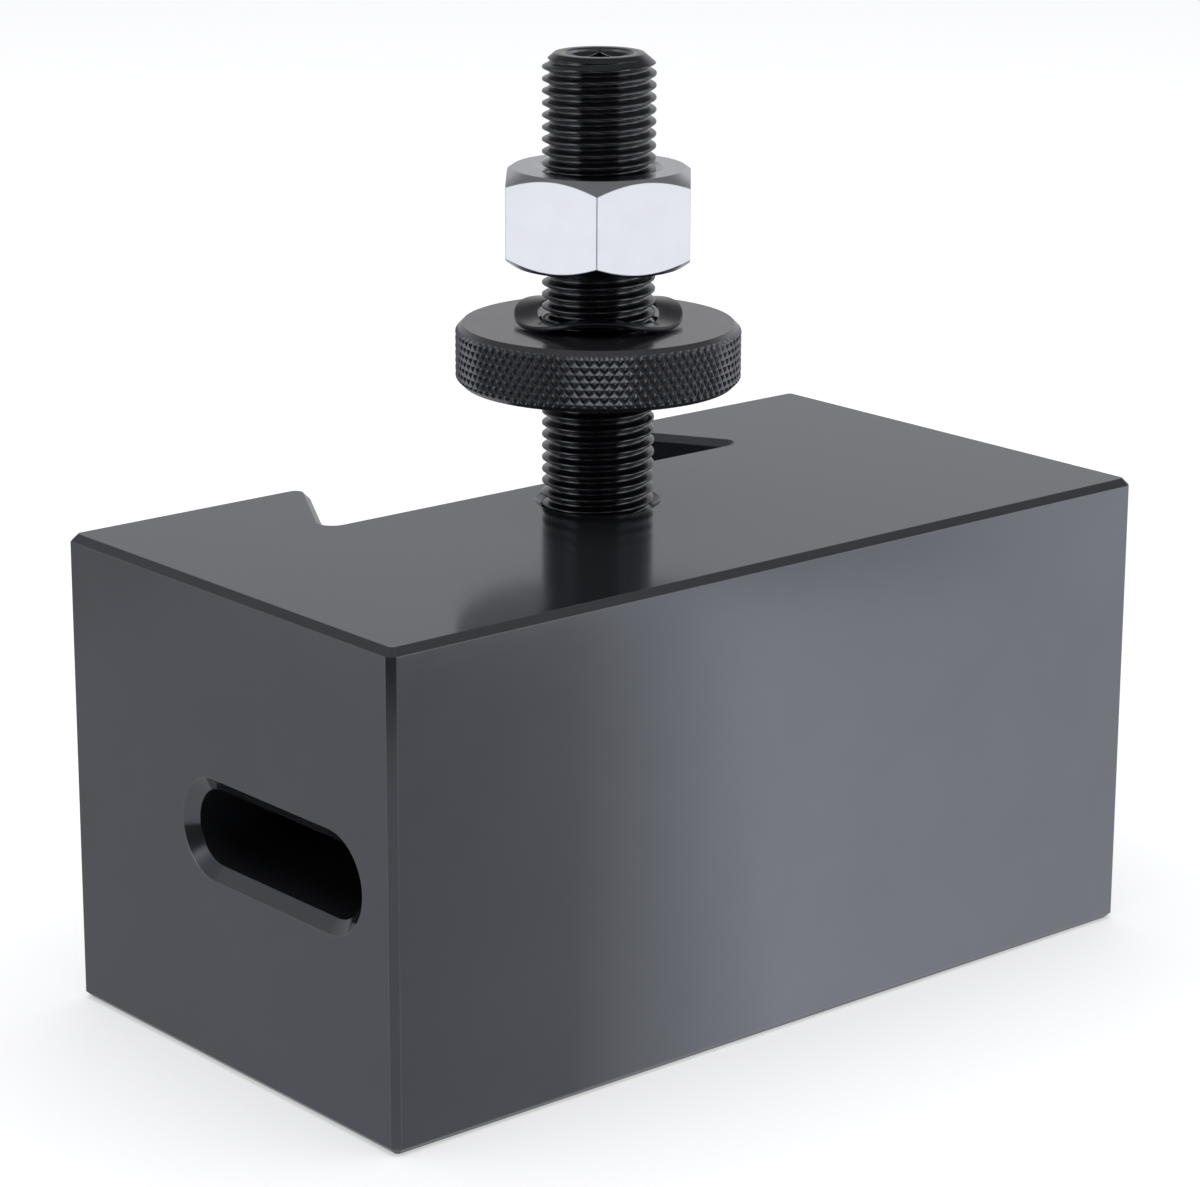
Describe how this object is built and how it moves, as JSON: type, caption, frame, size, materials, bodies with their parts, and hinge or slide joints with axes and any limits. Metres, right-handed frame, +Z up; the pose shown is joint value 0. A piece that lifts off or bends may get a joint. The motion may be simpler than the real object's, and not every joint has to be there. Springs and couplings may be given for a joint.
{
  "type": "quick change tool post holder",
  "caption": "Dovetail tool post holder with a Morse taper socket, a tang slot, and a height stud that carries a knurled nut, a wave washer and a hex lock nut.",
  "frame": {"origin": "centre of the block's underside", "axes": "+X along the block towards the taper socket's mouth, +Y towards the tool post (the dovetail side), +Z up along the stud"},
  "size_m": [0.1016, 0.0544, 0.0982],
  "materials": {
    "block_steel": "ground and black oxided",
    "black_hardware": "gloss black oxide",
    "spring_steel": "satin black oxide",
    "zinc_plate": "bright zinc plate"
  },
  "bodies": {
    "holder": {"holder_body": "block_steel", "height_stud": "black_hardware"},
    "washer": {"wave_washer": "spring_steel"},
    "height_nut": {"knurled_height_nut": "black_hardware"},
    "lock_nut": {"hex_lock_nut": "zinc_plate"}
  },
  "joints": [
    {"name": "height_travel", "type": "slide", "parent": "holder", "child": "washer", "axis": [0, 0, 1], "range_m": [-0.0125, 0.0022]},
    {"name": "height_nut_turn", "type": "hinge", "parent": "washer", "child": "height_nut", "pos_m": [0, 0.0029, 0.0668], "axis": [0, 0, 1], "range_deg": [-3600, 630]},
    {"name": "lock_nut_travel", "type": "slide", "parent": "holder", "child": "lock_nut", "axis": [0, 0, 1], "range_m": [-0.0022, 0.0118]}
  ],
  "couplings": [
    {"joint": "height_travel", "follows": "height_nut_turn", "m_per_rad": 0.00019894}
  ]
}
